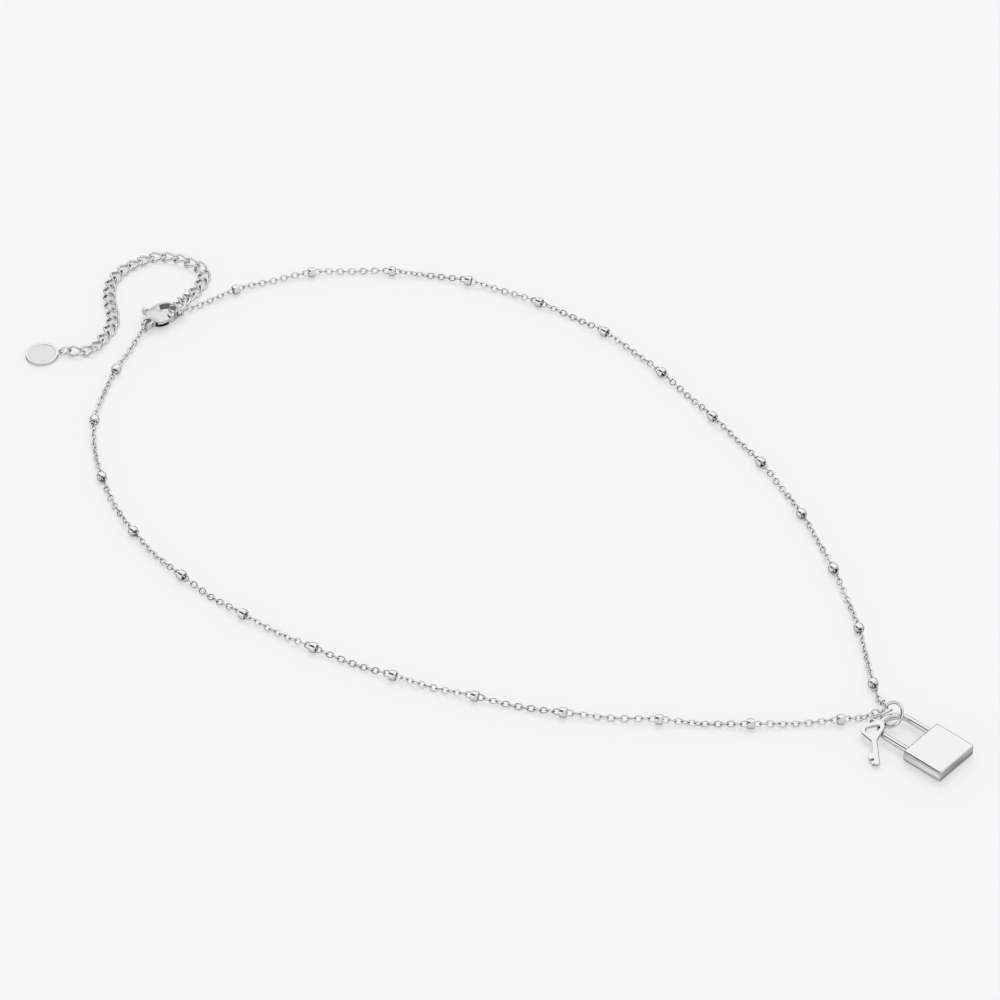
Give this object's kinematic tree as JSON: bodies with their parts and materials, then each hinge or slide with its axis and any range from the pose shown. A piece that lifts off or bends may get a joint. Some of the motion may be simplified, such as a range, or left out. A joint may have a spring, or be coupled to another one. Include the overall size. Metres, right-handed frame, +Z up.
{
  "type": "padlock necklace",
  "caption": "Fine cable chain necklace with barrel beads, a flat padlock pendant with a small key, a lobster clasp and an extension chain ending in a round tag.",
  "frame": {"origin": "on the surface, under the middle of the bounding box", "axes": "+Z up from the surface that it lies on, +Y from the padlock towards the clasp, +X to the strand that hangs in the clasp's mouth"},
  "size_m": [0.1018, 0.1999, 0.0037],
  "materials": {
    "polished_steel": "mirror polished stainless steel",
    "chain_steel": "tumble polished stainless steel wire"
  },
  "bodies": {
    "root": {"chain_right": "chain_steel", "chain_left": "chain_steel", "bead_right_1": "polished_steel", "bead_right_2": "polished_steel", "bead_right_3": "polished_steel", "bead_right_4": "polished_steel", "bead_right_5": "polished_steel", "bead_right_6": "polished_steel", "bead_right_7": "polished_steel", "bead_right_8": "polished_steel", "bead_right_9": "polished_steel", "bead_right_10": "polished_steel", "bead_right_11": "polished_steel", "bead_right_12": "polished_steel", "bead_right_13": "polished_steel", "bead_left_1": "polished_steel", "bead_left_2": "polished_steel", "bead_left_3": "polished_steel", "bead_left_4": "polished_steel", "bead_left_5": "polished_steel", "bead_left_6": "polished_steel", "bead_left_7": "polished_steel", "bead_left_8": "polished_steel", "bead_left_9": "polished_steel", "bead_left_10": "polished_steel", "bead_left_11": "polished_steel", "bead_left_12": "polished_steel", "bead_left_13": "polished_steel", "clasp_body": "polished_steel", "clasp_rivet": "polished_steel", "eye_ring": "polished_steel", "end_ring": "polished_steel", "extension_chain": "chain_steel", "tag_ring": "polished_steel", "tag": "polished_steel", "pendant_ring": "polished_steel", "padlock_body": "polished_steel", "shackle": "polished_steel", "key_ring": "polished_steel", "key": "polished_steel"},
    "lever": {"clasp_lever": "polished_steel"}
  },
  "joints": [
    {"name": "clasp_gate", "type": "hinge", "parent": "root", "child": "lever", "pos_m": [-0.00031, 0.08397, 0.00125], "axis": [0, 0, 1], "range_deg": [0, 16], "stiffness_Nm_per_rad": 0.001, "springref_deg": -17.19}
  ]
}
